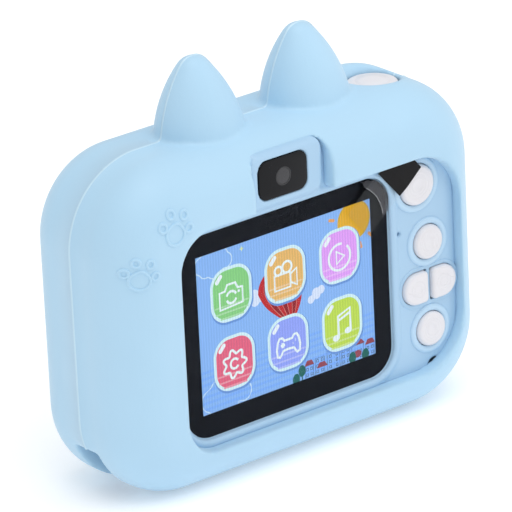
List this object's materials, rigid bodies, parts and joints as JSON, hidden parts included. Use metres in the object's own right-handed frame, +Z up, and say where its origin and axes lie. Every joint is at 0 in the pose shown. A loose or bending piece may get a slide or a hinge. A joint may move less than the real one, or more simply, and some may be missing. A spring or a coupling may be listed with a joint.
{
  "type": "kids digital camera",
  "caption": "Small child's digital camera: rounded silicone sleeve with cat ears, rear screen and buttons, lens turret, shutter button, sockets and strap bar.",
  "frame": {"origin": "centre of the flat base, midway between the screen side and the lens ring", "axes": "+X to the right seen from the screen side, +Y towards the lens side, +Z up"},
  "size_m": [0.0862, 0.0316, 0.0783],
  "materials": {
    "soft_silicone": "soft matte silicone, light blue",
    "shell_plastic": "fine satin moulded plastic, pale blue",
    "clear_acrylic": "clear polished acrylic",
    "border_ink": "black ink behind the window",
    "tape": "double sided tape",
    "display_glass": "lit display panel",
    "white_frame": "white backlight frame",
    "flex_film": "amber flexible circuit",
    "lens_glass": "dark tinted glass",
    "lens_element": "coated lens",
    "black_plastic": "satin black plastic",
    "button_plastic": "white moulded plastic",
    "plunger_plastic": "black switch plunger",
    "switch_metal": "thin plated steel",
    "board": "green solder mask",
    "chip_black": "moulded chip body",
    "ivory_plastic": "ivory connector plastic",
    "battery_foil": "foil pouch",
    "lead_wire": "insulated wire",
    "speaker_black": "black basket and cone",
    "card_black": "black card",
    "lamp_resin": "clear yellow lamp resin",
    "screw_steel": "plated screw steel",
    "clear_film": "thin clear film",
    "tab_film": "black film tab"
  },
  "bodies": {
    "camera_body": {"silicone_sleeve": "soft_silicone", "rear_shell": "shell_plastic", "front_shell": "shell_plastic", "screen_window": "clear_acrylic", "window_border": "border_ink", "window_tape": "tape", "display_panel": "display_glass", "display_backlight": "white_frame", "display_flex": "flex_film", "rear_lens_window": "lens_glass", "rear_camera_module": "black_plastic", "rear_camera_lens": "lens_element", "rear_camera_flex": "flex_film", "key_switches": "switch_metal", "shutter_switch": "switch_metal", "main_board": "board", "board_chips": "chip_black", "board_connectors": "ivory_plastic", "battery": "battery_foil", "battery_tape": "tape", "battery_leads": "lead_wire", "speaker": "speaker_black", "speaker_leads": "lead_wire", "microphone": "switch_metal", "usb_socket": "switch_metal", "card_socket": "switch_metal", "lens_ring": "button_plastic", "front_lens_cover": "lens_glass", "front_lens_barrel": "black_plastic", "front_lens_element": "lens_element", "camera_board": "board", "camera_flex": "flex_film", "flash_lamp": "lamp_resin", "case_screws": "screw_steel", "board_screws": "screw_steel", "camera_screws": "screw_steel", "lanyard_bar": "shell_plastic", "protective_film": "clear_film", "film_pull_tab": "tab_film"},
    "power_key": {"power_button": "button_plastic", "power_plunger": "plunger_plastic"},
    "up_key": {"up_button": "button_plastic", "up_plunger": "plunger_plastic"},
    "left_key": {"left_button": "button_plastic", "left_plunger": "plunger_plastic"},
    "right_key": {"right_button": "button_plastic", "right_plunger": "plunger_plastic"},
    "down_key": {"down_button": "button_plastic", "down_plunger": "plunger_plastic"},
    "shutter_key": {"shutter_button": "button_plastic", "shutter_plunger": "plunger_plastic"},
    "card": {"memory_card": "card_black"}
  },
  "joints": [
    {"name": "power_press", "type": "slide", "parent": "camera_body", "child": "power_key", "axis": [0, 1, 0], "range_m": [0, 0.0005], "stiffness_N_per_m": 400},
    {"name": "up_press", "type": "slide", "parent": "camera_body", "child": "up_key", "axis": [0, 1, 0], "range_m": [0, 0.0005], "stiffness_N_per_m": 400},
    {"name": "left_press", "type": "slide", "parent": "camera_body", "child": "left_key", "axis": [0, 1, 0], "range_m": [0, 0.0005], "stiffness_N_per_m": 400},
    {"name": "right_press", "type": "slide", "parent": "camera_body", "child": "right_key", "axis": [0, 1, 0], "range_m": [0, 0.0005], "stiffness_N_per_m": 400},
    {"name": "down_press", "type": "slide", "parent": "camera_body", "child": "down_key", "axis": [0, 1, 0], "range_m": [0, 0.0005], "stiffness_N_per_m": 400},
    {"name": "shutter_press", "type": "slide", "parent": "camera_body", "child": "shutter_key", "axis": [0, 0, -1], "range_m": [0, 0.0006], "stiffness_N_per_m": 400},
    {"name": "card_slide", "type": "slide", "parent": "camera_body", "child": "card", "axis": [1, 0, 0], "range_m": [0, 0.012]}
  ]
}
